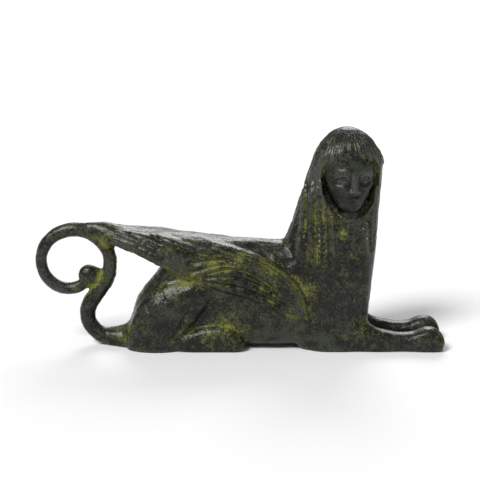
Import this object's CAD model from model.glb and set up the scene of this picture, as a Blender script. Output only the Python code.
"""A small recumbent sphinx in aged bronze, modelled as one wax and skinned as one casting.

The forms are signed distances in millimetres: each sub-assembly of the statue is a class that says
how far a point is from its surface, negative inside. The wax joins them, a surface net skins the
result, and the finish is worked out from how sheltered each spot of the skin is.

In the wax, X runs along the body towards the paws, Z is up, and the face looks to -Y.
"""

from __future__ import annotations

import logging
import math
from dataclasses import dataclass, field
from enum import Enum
from typing import Callable, Sequence

import bpy
import numpy as np
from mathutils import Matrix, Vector

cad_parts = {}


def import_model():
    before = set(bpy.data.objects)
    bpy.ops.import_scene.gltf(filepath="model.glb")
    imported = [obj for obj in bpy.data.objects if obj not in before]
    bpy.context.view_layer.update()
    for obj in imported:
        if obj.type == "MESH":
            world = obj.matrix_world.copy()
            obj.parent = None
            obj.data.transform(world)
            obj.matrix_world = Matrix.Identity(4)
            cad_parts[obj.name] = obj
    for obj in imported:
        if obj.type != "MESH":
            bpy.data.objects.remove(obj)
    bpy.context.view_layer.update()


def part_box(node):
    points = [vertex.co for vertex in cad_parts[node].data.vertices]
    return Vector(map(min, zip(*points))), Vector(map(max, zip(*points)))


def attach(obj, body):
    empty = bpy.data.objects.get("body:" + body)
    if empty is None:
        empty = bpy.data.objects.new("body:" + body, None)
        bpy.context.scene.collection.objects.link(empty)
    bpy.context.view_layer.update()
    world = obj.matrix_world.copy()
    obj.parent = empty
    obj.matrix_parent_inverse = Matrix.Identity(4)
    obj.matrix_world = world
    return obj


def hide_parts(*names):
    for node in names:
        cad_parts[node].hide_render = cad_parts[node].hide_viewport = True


Array = np.ndarray
Distance = Callable[[Array], Array]
Colour = tuple[float, float, float, float]
Tree = bpy.types.NodeTree
Socket = bpy.types.NodeSocket

LOG = logging.getLogger("sphinx")
NODE = "sphinx"
BODY = "root"
MM = 0.001
FAR = 1000.0


# ---- Shaping tools ---------------------------------------------------------------------------


class Join(Enum):
    """How softly two forms run into each other: the width of the fillet, in millimetres."""

    CRISP = 0.35
    WORKED = 0.9
    SOFT = 1.8
    FLOWING = 4.5


def fade(value: Array, start: float, end: float) -> Array:
    """Rises smoothly from 0 at start to 1 at end.

    Args:
        value: The values to grade.
        start: Where the rise begins.
        end: Where the rise is complete.

    Returns:
        Values from 0 to 1.
    """
    t = np.clip((value - start) / (end - start), 0.0, 1.0)
    return t * t * (3.0 - 2.0 * t)


def swell(offset: Array, half: float) -> Array:
    """A rounded bump of height 1 round zero.

    Args:
        offset: Distance from the bump's middle.
        half: Half width of the bump.

    Returns:
        Heights from 0 to 1.
    """
    return np.clip(1.0 - (offset / half) ** 2, 0.0, 1.0)


def joined(a: Array, b: Array, how: Join | float) -> Array:
    """Joins two forms with a fillet.

    Args:
        a: Distances to the first form.
        b: Distances to the second form.
        how: The fillet, as a named join or in millimetres.

    Returns:
        Distances to both together.
    """
    width = how.value if isinstance(how, Join) else how
    near = np.maximum(width - np.abs(a - b), 0.0) / width
    return np.minimum(a, b) - near * near * width * 0.25


def cut(form: Array, tool: Array, how: Join | float) -> Array:
    """Cuts a tool's form out of another.

    Args:
        form: Distances to the form that is cut.
        tool: Distances to the form that is taken away.
        how: The rounding of the rim.

    Returns:
        Distances to what is left.
    """
    return -joined(-form, tool, how)


def common(a: Array, b: Array, how: Join | float) -> Array:
    """Keeps what two forms share.

    Args:
        a: Distances to the first form.
        b: Distances to the second form.
        how: The rounding where they meet.

    Returns:
        Distances to the shared form.
    """
    return -joined(-a, -b, how)


def ball(points: Array, centre: Sequence[float], half: Sequence[float]) -> Array:
    """Distance to an ellipsoid.

    Args:
        points: Points as rows.
        centre: The ellipsoid's centre.
        half: Its half sizes.

    Returns:
        One distance for each point.
    """
    offset = points - np.asarray(centre, dtype=points.dtype)
    size = np.asarray(half, dtype=points.dtype)
    scaled = np.sqrt(((offset / size) ** 2).sum(axis=1))
    steep = np.sqrt(((offset / size**2) ** 2).sum(axis=1))
    return scaled * (scaled - 1.0) / np.maximum(steep, 1e-6)


def oval(across: Array, up: Array, half_across: Array, half_up: Array, power: Array | float) -> Array:
    """Distance to a rounded-square oval, measured along the ray from its middle.

    Args:
        across: Offset from the middle, across.
        up: Offset from the middle, upwards.
        half_across: Half size across.
        half_up: Half size upwards.
        power: Squareness, 2 being an ellipse.

    Returns:
        One distance for each point.
    """
    gauge = (np.abs(across / half_across) ** power + np.abs(up / half_up) ** power) ** (1.0 / power)
    gauge = np.maximum(gauge, 0.02)
    middle = np.where(gauge < 0.05, np.minimum(half_across, half_up), 0)
    return np.hypot(across, up) * (1.0 - 1.0 / gauge) - middle


def stick(points: Array, start: Sequence[float], end: Sequence[float], r0: float, r1: float) -> Array:
    """Distance to a round stick whose radius changes from end to end.

    Args:
        points: Points as rows.
        start: Where the stick starts.
        end: Where it ends.
        r0: Radius at the start.
        r1: Radius at the end.

    Returns:
        One distance for each point.
    """
    a = np.asarray(start, dtype=points.dtype)
    along = np.asarray(end, dtype=points.dtype) - a
    share = np.clip((points - a) @ along / (along @ along), 0.0, 1.0)
    reach = np.linalg.norm(points - a - share[:, None] * along, axis=1)
    return reach - (r0 + (r1 - r0) * share)


def chain(points: Array, nodes: Sequence[Sequence[float]], radii: Sequence[float]) -> Array:
    """Distance to a row of sticks that share their ends.

    Args:
        points: Points as rows.
        nodes: The places where the sticks meet.
        radii: The radius at each place.

    Returns:
        One distance for each point.
    """
    parts = (
        stick(points, nodes[i], nodes[i + 1], radii[i], radii[i + 1]) for i in range(len(nodes) - 1)
    )
    return np.minimum.reduce(list(parts))


def landing(shape: Distance, starts: Array, heading: Array | Sequence[float], rise: float = 0.0) -> Array:
    """Follows straight lines from outside until they meet a form.

    Args:
        shape: The form.
        starts: Where the lines start, as rows.
        heading: Their direction, of length 1, or one for each line.
        rise: How far outside the skin to stop; below zero, inside it.

    Returns:
        The places where they stop, as rows.
    """
    places, step = np.array(starts, dtype=float), np.asarray(heading, dtype=float)
    for _ in range(24):
        places = places + step * 0.9 * (shape(places) - rise)[:, None]
    return places


def levelled(shape: Distance, points: Array, axis: int, step: float = 0.15) -> Array:
    """Corrects a lofted form's distance where its section changes quickly along the loft.

    Args:
        shape: The lofted form, true within a section.
        points: Points as rows.
        axis: The loft's direction.
        step: How far to each side the slope is felt, in millimetres.

    Returns:
        One distance for each point.
    """
    nudge = np.zeros(3, dtype=points.dtype)
    nudge[axis] = step
    slope = (shape(points + nudge) - shape(points - nudge)) / (2.0 * step)
    return shape(points) / np.sqrt(1.0 + np.minimum(slope**2, 25.0))


class Profile:
    """Smooth values between the rows of a table, whose first column says where they hold."""

    SAMPLES = 1500

    def __init__(self, rows: Sequence[Sequence[float]]) -> None:
        """Draws a smooth curve through each column.

        Args:
            rows: The place and the values there, in rising order of place.
        """
        table = np.array(rows, dtype=float)
        places, values = table[:, 0], table[:, 1:]
        gaps = np.diff(places)
        slopes = np.diff(values, axis=0) / gaps[:, None]
        weights = gaps[:-1] + gaps[1:]
        inner = (slopes[:-1] * gaps[1:, None] + slopes[1:] * gaps[:-1, None]) / weights[:, None]
        tangents = np.vstack([slopes[:1], inner, slopes[-1:]])
        self.fine = np.linspace(places[0], places[-1], self.SAMPLES)
        index = np.clip(np.searchsorted(places, self.fine, side="right") - 1, 0, len(gaps) - 1)
        t = ((self.fine - places[index]) / gaps[index])[:, None]
        span = gaps[index][:, None]
        self.columns = (
            values[index] * (1 - t) ** 2 * (1 + 2 * t)
            + values[index + 1] * t**2 * (3 - 2 * t)
            + tangents[index] * span * t * (1 - t) ** 2
            - tangents[index + 1] * span * t**2 * (1 - t)
        ).T

    def __call__(self, where: Array | float) -> list[Array]:
        """Reads every column at the given places.

        Args:
            where: The places to read at; past the ends, the end rows hold.

        Returns:
            One array for each column.
        """
        return [np.interp(where, self.fine, column) for column in self.columns]


def lattice_noise(points: Array, size: float, seed: int) -> Array:
    """Smooth three-dimensional noise that is the same on every run.

    Args:
        points: Points as rows.
        size: Width of its lumps, in the points' units.
        seed: Which noise.

    Returns:
        Values from -1 to 1.
    """
    place = points / size
    base = np.floor(place).astype(np.int64)
    part = place - base
    part = part * part * (3.0 - 2.0 * part)
    total = np.zeros(len(points))
    for corner in range(8):
        shift = np.array([corner & 1, (corner >> 1) & 1, (corner >> 2) & 1])
        cell = base + shift
        mixed = cell[:, 0] * 73856093 ^ cell[:, 1] * 19349663 ^ cell[:, 2] * 83492791 ^ seed * 2654435761
        mixed = (mixed ^ (mixed >> 13)) * 1274126177 & 0xFFFFFFFF
        value = (mixed ^ (mixed >> 16) & 0xFFFF) / 0xFFFFFFFF * 2.0 - 1.0
        weight = np.where(shift == 1, part, 1.0 - part).prod(axis=1)
        total += weight * value
    return total


class Form:
    """A sub-assembly of the wax: a shape, and the box that holds it."""

    MARGIN = 6.0

    def reach(self) -> tuple[Sequence[float], Sequence[float]]:
        """Returns the lowest and highest corners of the form."""
        raise NotImplementedError

    def shape(self, points: Array) -> Array:
        """Returns the distance to the form, for points near it."""
        raise NotImplementedError

    def distance(self, points: Array) -> Array:
        """Distance to the form, worked out in full only near it.

        Args:
            points: Points as rows.

        Returns:
            One distance for each point; far away, the distance to the form's box.
        """
        low, high = (np.asarray(corner, dtype=points.dtype) for corner in self.reach())
        outside = np.maximum(np.maximum(low - points, points - high), 0.0)
        result = np.linalg.norm(outside, axis=1) + self.MARGIN * 0.5
        close = result < self.MARGIN * 1.5
        if close.any():
            result[close] = self.shape(points[close])
        return result


# ---- The lion --------------------------------------------------------------------------------


@dataclass
class Trunk(Form):
    """The lion's body from the root of the tail to the chest."""

    sections: Profile = field(
        default_factory=lambda: Profile(
            [  # along the body, top, underside, half width
                (-52, 6.2, 0.2, 3.2),
                (-48.5, 6.8, -0.8, 5),
                (-45, 8.6, -2, 6.4),
                (-42.7, 13, -2, 7.2),
                (-41.3, 18, -2, 7.8),
                (-38.5, 23, -2, 8.4),
                (-35.4, 26.8, -2, 9),
                (-32.4, 30.6, -2, 9.4),
                (-29, 36, -1, 9.8),
                (-22, 41.6, 0.8, 10.3),
                (-12, 43.8, 1.2, 10.6),
                (2, 43.8, 1.2, 10.8),
                (16, 43, 1.2, 11.2),
                (23, 43, 1, 11.4),
                (26, 42.6, -1.2, 11.7),
                (36, 36, -2, 11.8),
            ]
        )
    )
    flank_power: float = 2.5
    belly_power: float = 4.0
    rear: float = -52.0
    front: float = 38.0

    def reach(self) -> tuple[Sequence[float], Sequence[float]]:
        """Returns the lowest and highest corners of the trunk."""
        return (self.rear, -13, -3), (self.front, 13, 46)

    def side(self, points: Array) -> Array:
        """Distance to the trunk within its section, without its ends.

        Args:
            points: Points as rows.

        Returns:
            One distance for each point.
        """
        top, under, half = self.sections(points[:, 0])
        middle, tall = (top + under) / 2, (top - under) / 2
        up = points[:, 2] - middle
        power = np.where(up > 0, self.flank_power, self.belly_power)
        return oval(points[:, 1], up, half, tall, power)

    def shape(self, points: Array) -> Array:
        """Distance to the trunk.

        Args:
            points: Points as rows.

        Returns:
            One distance for each point.
        """
        ends = np.maximum(self.rear - points[:, 0], points[:, 0] - self.front)
        return common(levelled(self.side, points, axis=0), ends, Join.WORKED)


@dataclass
class Haunches(Form):
    """The two thighs with their bent knees."""

    thigh: Profile = field(
        default_factory=lambda: Profile(
            [  # station, x, z, radius, half depth, depth of the middle
                (0, -33.2, -4, 11.8, 6.2, 6.8),
                (1, -32.6, 5, 11.6, 6.8, 7.0),
                (2, -30.4, 12, 11.5, 7.0, 7.3),
                (3, -26.6, 17, 10.4, 6.8, 7.5),
                (4, -21.6, 20.6, 8.6, 6.4, 7.9),
                (5, -17.2, 22.8, 6.6, 5.9, 8.3),
                (6, -13.8, 24.2, 4.2, 4.6, 8.3),
            ]
        )
    )
    shank: tuple[Sequence[float], ...] = (
        (-14.4, 9.4, 22.5),
        (-16.2, 9.6, 19.4),
        (-20.9, 9.9, 12.8),
        (-27.2, 10.2, 5.0),
    )
    shank_radii: tuple[float, ...] = (3.5, 3.6, 3.2, 3.0)
    fold: tuple[tuple[float, float], ...] = (
        (-18.6, 19.4),
        (-20.6, 15.7),
        (-22.4, 12.0),
        (-24.2, 8.2),
        (-26.4, 5.0),
    )
    fold_radii: tuple[float, ...] = (0.1, 0.7, 0.95, 1.0, 0.8)
    stations: int = 10

    def reach(self) -> tuple[Sequence[float], Sequence[float]]:
        """Returns the lowest and highest corners of the haunches."""
        return (-46, -14.6, -16), (-9, 14.6, 30)

    def __post_init__(self) -> None:
        """Lays the fold on the skin."""
        starts = np.array([(x, 20.0, z) for x, z in self.fold])
        self.fold_line = landing(self.full, starts, (0.0, -1.0, 0.0))

    def full(self, points: Array) -> Array:
        """Distance to both haunches without the fold.

        Args:
            points: Points as rows.

        Returns:
            One distance for each point.
        """
        side = points.copy()
        side[:, 1] = np.abs(side[:, 1])
        stations = np.linspace(0.0, 6.0, self.stations)
        rows = np.array(self.thigh(stations)).T
        best = np.full(len(points), FAR)
        for start, end in zip(rows[:-1], rows[1:]):
            along = end[:2] - start[:2]
            offset = side[:, [0, 2]] - start[:2]
            share = np.clip(offset @ along / (along @ along), 0.0, 1.0)
            _, _, radius, half, depth = (start[i] + (end[i] - start[i]) * share for i in range(5))
            flat = offset - share[:, None] * along
            squeeze = radius / half
            deep = (side[:, 1] - depth) * squeeze
            reach = np.sqrt(flat[:, 0] ** 2 + flat[:, 1] ** 2 + deep**2)
            steep = np.sqrt(flat[:, 0] ** 2 + flat[:, 1] ** 2 + (deep * squeeze) ** 2)
            best = np.minimum(best, (reach - radius) * reach / np.maximum(steep, 1e-6))
        return joined(best, chain(side, self.shank, self.shank_radii), Join.SOFT)

    def shape(self, points: Array) -> Array:
        """Distance to both haunches, with the fold between thigh and shank.

        Args:
            points: Points as rows.

        Returns:
            One distance for each point.
        """
        side = points.copy()
        side[:, 1] = np.abs(side[:, 1])
        return cut(self.full(points), chain(side, self.fold_line, self.fold_radii), Join.WORKED)


@dataclass
class LyingLeg(Form):
    """A pair of legs that lie along the ground, with toes at their front end."""

    sections: Profile
    rear: float
    front: float
    offset: float = 8.5
    power: float = 2.6
    toe_spread: float = 2.3
    toe_groove: float = 0.5
    toe_length: float = 7.0

    def reach(self) -> tuple[Sequence[float], Sequence[float]]:
        """Returns the lowest and highest corners of the pair."""
        return (self.rear, -self.offset - 5.2, -2), (self.front, self.offset + 5.2, 17)

    def side(self, points: Array) -> Array:
        """Distance to a leg within its section, without its ends.

        Args:
            points: Points as rows, with depth counted from the statue's middle.

        Returns:
            One distance for each point.
        """
        top, half = self.sections(points[:, 0])
        sink = -1.8 + 3.2 * fade(top, 4.0, 9.4)
        middle, tall = (top - sink) / 2, (top + sink) / 2
        return oval(points[:, 1] - self.offset, points[:, 2] - middle, half, tall, self.power)

    def shape(self, points: Array) -> Array:
        """Distance to both legs.

        Args:
            points: Points as rows.

        Returns:
            One distance for each point.
        """
        side = points.copy()
        side[:, 1] = np.abs(side[:, 1])
        leg = levelled(self.side, side, axis=0)
        leg = common(leg, np.maximum(self.rear - side[:, 0], side[:, 0] - self.front), Join.WORKED)
        spread = side[:, 1] - self.offset
        groove = sum(np.exp(-(((spread - k * self.toe_spread) / 0.45) ** 2)) for k in (-1, 0, 1))
        at_toes = fade(side[:, 0], self.front - self.toe_length, self.front - 1.5)
        return leg + self.toe_groove * groove * at_toes


def fore_legs() -> LyingLeg:
    """Returns the forelegs, stretched out in front of the chest."""
    sections = Profile(
        [  # along the body, top, half width
            (34, 16, 3.4),
            (45, 14.8, 4),
            (50, 12.4, 4.3),
            (54, 9.5, 4.4),
            (59, 8, 4.3),
            (65, 7.1, 4.2),
            (69, 7.4, 4.4),
            (75, 9.4, 4.8),
            (78.8, 8.6, 4.7),
            (81.2, 6.2, 4),
            (82.2, 4.2, 2.2),
        ]
    )
    return LyingLeg(sections, rear=34, front=82.1)


def hind_feet() -> LyingLeg:
    """Returns the hind feet, which reach forward under the belly."""
    sections = Profile(
        [  # along the body, top, half width
            (-27, 6, 4),
            (-20, 8.4, 4.8),
            (-13, 10.4, 5),
            (-6, 10.6, 5),
            (-1, 8.6, 4.8),
            (1.6, 5.8, 4),
            (2.5, 3.8, 2.4),
        ]
    )
    return LyingLeg(sections, rear=-27, front=2.4, toe_length=6.0)


@dataclass
class Arc:
    """A round bar bent along an arc, or along a spiral that closes in."""

    x: float
    z: float
    radii: Profile
    start: float
    end: float

    def distance(self, points: Array) -> Array:
        """Distance to the bar.

        Args:
            points: Points as rows.

        Returns:
            One distance for each point.
        """
        across, up = points[:, 0] - self.x, points[:, 2] - self.z
        angle = np.degrees(np.arctan2(up, across))
        angle = angle + 360.0 * np.ceil((self.start - angle) / 360.0)
        past = angle - self.end
        angle = np.where(past > 0, np.where(past < self.start + 360.0 - angle, self.end, self.start), angle)
        radius, thick = self.radii(angle)
        turn = np.radians(angle)
        reach = np.hypot(across - radius * np.cos(turn), up - radius * np.sin(turn))
        return np.hypot(reach, points[:, 1]) - thick

    def tip(self, angle: float) -> tuple[float, float, float, float]:
        """Place and thickness of the bar at an angle.

        Args:
            angle: The angle in degrees.

        Returns:
            The place and the thickness.
        """
        radius, thick = (float(value) for value in self.radii(angle))
        turn = math.radians(angle)
        return self.x + radius * math.cos(turn), 0.0, self.z + radius * math.sin(turn), thick


@dataclass
class Tail(Form):
    """The tail: a bend out of the rump, a ring that closes in, a knob on its end, and the webs."""

    bend: Arc = field(
        default_factory=lambda: Arc(
            -51.1,
            12.7,
            Profile(
                [  # angle, distance from the middle, thickness
                    (-215, 9.7, 3.25),
                    (-170, 9.7, 3.1),
                    (-120, 9.7, 3.2),
                    (-90, 9.7, 3.5),
                ]
            ),
            -215,
            -90,
        )
    )
    ring: Arc = field(
        default_factory=lambda: Arc(
            -65.2,
            33.5,
            Profile(
                [  # angle, distance from the middle, thickness
                    (-35, 13.75, 3.25),
                    (0, 13.75, 2.8),
                    (90, 13.75, 2.85),
                    (180, 13.75, 2.28),
                    (225, 12.2, 2.45),
                    (270, 9.9, 2.5),
                    (316, 7.2, 2.5),
                ]
            ),
            -35,
            316,
        )
    )
    knob: tuple[float, float] = (-60.0, 28.7)
    knob_half: tuple[float, float, float] = (4.2, 3.4, 4.2)
    root_end: tuple[float, float, float] = (-40.0, 0.0, 4.4)
    root_radius: float = 4.6

    def reach(self) -> tuple[Sequence[float], Sequence[float]]:
        """Returns the lowest and highest corners of the tail."""
        return (-82, -5, -1), (-38, 5, 51)

    def shape(self, points: Array) -> Array:
        """Distance to the tail.

        Args:
            points: Points as rows.

        Returns:
            One distance for each point.
        """
        bend, ring = self.bend, self.ring
        foot = (bend.x, 0.0, bend.z - 9.7)
        link_start, link_end = bend.tip(bend.start), ring.tip(ring.start)
        tail = np.minimum(bend.distance(points), ring.distance(points))
        tail = np.minimum(tail, stick(points, link_start[:3], link_end[:3], link_start[3], link_end[3]))
        tail = joined(tail, stick(points, foot, self.root_end, 3.4, self.root_radius), Join.WORKED)
        knob_x, knob_z = self.knob
        tail = joined(tail, ball(points, (knob_x, 0, knob_z), self.knob_half), Join.WORKED)
        knob_web = ball(points, (-57.6, 0, 27.2), (4.8, 1.5, 4.8))
        wing_web = ball(points, (-52.0, 0, 43.6), (3.6, 1.7, 4.4))
        return joined(tail, np.minimum(knob_web, wing_web), Join.WORKED)


@dataclass
class Wings(Form):
    """The folded wings, laid over the flanks and closing to a wedge above the tail."""

    trunk: Trunk
    lower: Profile = field(
        default_factory=lambda: Profile(
            [  # along the body, height of the lower edge
                (-60.5, 46.6),
                (-56.6, 45),
                (-52.5, 42.8),
                (-47, 41.4),
                (-40, 39),
                (-32, 35.2),
                (-24, 31.6),
                (-16, 28),
                (-8, 25),
                (0, 22.6),
                (8, 19.8),
                (15, 17.1),
                (20, 15.4),
                (24, 14.1),
                (27.4, 13.2),
            ]
        )
    )
    leading: Profile = field(
        default_factory=lambda: Profile(
            [  # along the body, height of the leading edge; behind, it has run out over the back
                (-60.5, 56),
                (-40, 54),
                (-28, 49.5),
                (-16, 45.6),
                (-8, 43.8),
                (0, 41.8),
                (8, 39.2),
                (15, 35.4),
                (20, 31.6),
                (24, 27),
                (26.4, 21.5),
                (27.4, 15.5),
            ]
        )
    )
    wedge: Profile = field(
        default_factory=lambda: Profile(
            [  # along the body, top of the wedge that the wings close to, its half width
                (-60.5, 50, 1.6),
                (-56.6, 50.1, 2.8),
                (-52.5, 50.1, 4.2),
                (-47, 49, 5.8),
                (-40, 47.7, 7.8),
                (-32, 47, 9.6),
                (-24, 46.4, 10.6),
                (-16, 45.6, 10.8),
                (-8, 44.6, 10.8),
                (0, 43.6, 10.6),
                (8, 43.0, 10.4),
                (28, 42.0, 10.4),
            ]
        )
    )
    middle: Profile = field(
        default_factory=lambda: Profile(
            [  # along the body, height of the edge between the two layers of feathers
                (-60.5, 48),
                (-47, 43.6),
                (-32, 36.8),
                (-24, 32.4),
                (-18.5, 29.3),
                (-15.7, 30.7),
                (-12, 32.4),
                (-8, 33.4),
                (-3, 33.9),
                (1, 33.5),
                (8, 30.3),
                (14, 26.2),
                (20, 20.8),
                (24, 16.8),
                (27.4, 13.6),
            ]
        )
    )
    bundle_edge: Profile = field(
        default_factory=lambda: Profile(
            [  # height, how far forward the rear bundle of long feathers reaches
                (26, -21.5),
                (29, -19.6),
                (33.8, -19.4),
                (38.7, -20.8),
                (43.9, -27.3),
                (50, -40),
            ]
        )
    )
    tip: float = -60.5
    corner: float = 27.6
    proud: float = 1.35
    lower_feathers: int = 3
    upper_feathers: int = 4
    feather_crown: float = 0.45
    feather_groove: float = 0.75
    groove_width: float = 0.65
    layer_step: float = 0.6
    bundle_rise: float = 0.9
    edge_width: float = 2.7
    edge_rise: float = 1.15
    wedge_depth: float = 4.0

    def reach(self) -> tuple[Sequence[float], Sequence[float]]:
        """Returns the lowest and highest corners of the wings."""
        return (self.tip, -13.6, 12), (self.corner, 13.6, 51)

    @staticmethod
    def to_curve(x: Array, z: Array, curve: Profile, start: float, end: float) -> Array:
        """Distance in the upright plane to a curve.

        Args:
            x: Places along the body.
            z: Heights.
            curve: The curve's height along the body.
            start: Where the curve starts.
            end: Where it ends.

        Returns:
            Distances, never negative.
        """
        xs = end - (end - start) * np.linspace(0.0, 1.0, 34) ** 1.4
        zs = curve(xs)[0]
        best = np.full(len(x), FAR)
        for i in range(len(xs) - 1):
            dx, dz = xs[i + 1] - xs[i], zs[i + 1] - zs[i]
            share = np.clip(((x - xs[i]) * dx + (z - zs[i]) * dz) / (dx * dx + dz * dz), 0.0, 1.0)
            best = np.minimum(best, np.hypot(x - xs[i] - share * dx, z - zs[i] - share * dz))
        return best

    def wedge_side(self, points: Array) -> Array:
        """Distance within the section to the wedge that the wings close to.

        Args:
            points: Points as rows.

        Returns:
            One distance for each point.
        """
        low = self.lower(points[:, 0])[0] - self.wedge_depth
        top, half = self.wedge(points[:, 0])
        return oval(points[:, 1], points[:, 2] - (low + top) / 2, half, (top - low) / 2, 2.2)

    def edges(self, x: Array) -> Array:
        """Heights of the feathers' edges, from the wing's lower edge up to its leading edge.

        Args:
            x: Places along the body.

        Returns:
            One row for each edge.
        """
        low, middle = self.lower(x)[0], self.middle(x)[0]
        top = np.maximum(self.leading(x)[0] - self.edge_width, middle + 0.2)
        lower = [low + (middle - low) * i / self.lower_feathers for i in range(self.lower_feathers)]
        upper = [middle + (top - middle) * i / self.upper_feathers for i in range(self.upper_feathers + 1)]
        return np.stack(lower + upper)

    def relief(self, x: Array, z: Array, to_lead: Array) -> Array:
        """How far the feathers and the leading edge stand off the wing's sheet.

        Args:
            x: Places along the body.
            z: Heights.
            to_lead: Distance to the leading edge.

        Returns:
            Heights in millimetres.
        """
        step = 0.25
        edges, ahead = self.edges(x), self.edges(x + step)
        which = np.clip((edges < z).sum(axis=0) - 1, 0, len(edges) - 2)
        each = np.arange(len(x))
        under, over = edges[which, each], edges[which + 1, each]
        slope = (ahead[self.lower_feathers] - edges[self.lower_feathers]) / step
        gap = (over - under) / np.sqrt(1.0 + slope**2)
        phase = np.clip((z - under) / np.maximum(over - under, 1e-3), 0.0, 1.0)
        line = np.minimum(phase, 1.0 - phase) * gap
        bundle = fade(self.bundle_edge(z)[0] - x, -0.3, 0.8)
        clear = fade(gap, 0.9, 2.4) * (1.0 - 0.55 * bundle)
        groove = np.exp(-((line / self.groove_width) ** 2))
        feathers = self.feather_crown * 4.0 * phase * (1.0 - phase) - self.feather_groove * groove
        middle = edges[self.lower_feathers]
        over_middle = fade((z - middle) / np.sqrt(1.0 + slope**2), -0.4, 0.7)
        layer = self.layer_step * (over_middle - 0.5) * (1.0 - bundle)
        ridges = swell(to_lead - 0.65, 0.62) + swell(to_lead - 2.05, 0.6)
        inside = fade(to_lead, self.edge_width - 0.4, self.edge_width + 0.3)
        front = fade(x, -13.0, -3.0)
        on_sheet = (feathers * clear + layer) * np.maximum(inside, 1.0 - front)
        return on_sheet + self.edge_rise * ridges * front + self.bundle_rise * bundle

    def shape(self, points: Array) -> Array:
        """Distance to the pair of wings and the wedge between them.

        Args:
            points: Points as rows.

        Returns:
            One distance for each point.
        """
        x, z = points[:, 0], points[:, 2]
        to_lead = self.to_curve(x, z, self.leading, self.tip, 27.4)
        to_low = self.to_curve(x, z, self.lower, self.tip, 27.4)
        past_lead = np.where(z > self.leading(x)[0], to_lead, -to_lead)
        past_low = np.where(z < self.lower(x)[0], to_low, -to_low)
        outline = np.maximum(np.maximum(past_lead, past_low), x - self.corner)
        wedge = levelled(self.wedge_side, points, axis=0)
        carried = joined(wedge, self.trunk.distance(points), Join.SOFT)
        spine = fade(np.abs(points[:, 1]), 2.0, 9.0)
        sheet = carried - spine * (self.proud + self.relief(x, z, to_lead))
        wing = common(sheet, outline, 0.6)
        behind = common(wedge, np.maximum(self.tip - x, self.lower(x)[0] - z), Join.WORKED)
        return joined(wing, behind, Join.CRISP)


# ---- The woman -------------------------------------------------------------------------------


@dataclass
class Bust(Form):
    """The chest, the neck and the mass of hair, up to the crown."""

    sections: Profile = field(
        default_factory=lambda: Profile(
            [  # height, back edge, front edge, half depth, depth of the middle
                (0, 26.5, 49.8, 12.2, 0),
                (6, 26, 51, 12.6, 0),
                (13, 25.8, 51.7, 12.6, 0),
                (20, 25.6, 52.4, 12.4, 0),
                (28, 24.5, 53.2, 12.1, 0),
                (36, 21.6, 54.1, 11.7, 0),
                (41, 18.2, 54.6, 11.2, 0),
                (45, 19.0, 54.8, 10.8, 0.3),
                (50, 21, 55.1, 10.4, 0.6),
                (56, 22.8, 55.5, 10.4, 0.8),
                (62, 24.7, 55.9, 11.4, 0.6),
                (69, 27, 56.4, 12.3, 0.4),
                (75, 28.9, 56.3, 12.4, 0.3),
                (80, 30.9, 54.6, 11.1, 0.2),
                (84, 33.7, 51.9, 8.6, 0),
                (87, 37.2, 47.9, 5.2, 0),
                (88.2, 39.9, 45.0, 2.5, 0),
            ]
        )
    )
    chest_power: float = 3.2
    head_power: float = 2.2
    crown: float = 88.45
    cap_edge: float = 69.5
    cap_drop: float = 5.0
    cap_notch: float = 0.45

    def reach(self) -> tuple[Sequence[float], Sequence[float]]:
        """Returns the lowest and highest corners of the bust."""
        return (17, -14.6, -2), (57, 14.6, 89)

    def power(self, z: Array | float) -> Array:
        """Squareness of the plan at a height.

        Args:
            z: Heights.

        Returns:
            One power for each height.
        """
        return self.chest_power + (self.head_power - self.chest_power) * fade(np.asarray(z), 20.0, 60.0)

    def side(self, points: Array) -> Array:
        """Distance to the bust within its plan.

        Args:
            points: Points as rows.

        Returns:
            One distance for each point.
        """
        back, front, half, centre = self.sections(points[:, 2])
        across = points[:, 0] - (back + front) / 2
        return oval(across, points[:, 1] - centre, (front - back) / 2, half, self.power(points[:, 2]))

    def mass(self, points: Array) -> Array:
        """Distance to the chest and the mass of hair, with the notch under the cap of hair.

        Args:
            points: Points as rows.

        Returns:
            One distance for each point.
        """
        bust = common(levelled(self.side, points, axis=2), points[:, 2] - self.crown, Join.WORKED)
        edge = self.cap_edge - self.cap_drop * fade(points[:, 1], -9.0, 0.0)
        notch = np.exp(-(((points[:, 2] - edge) / 0.9) ** 2)) * (1.0 - fade(points[:, 0], 44.0, 50.0))
        return bust + self.cap_notch * notch

    def shape(self, points: Array) -> Array:
        """Distance to the chest and the mass of hair.

        Args:
            points: Points as rows.

        Returns:
            One distance for each point.
        """
        return self.mass(points)


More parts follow.
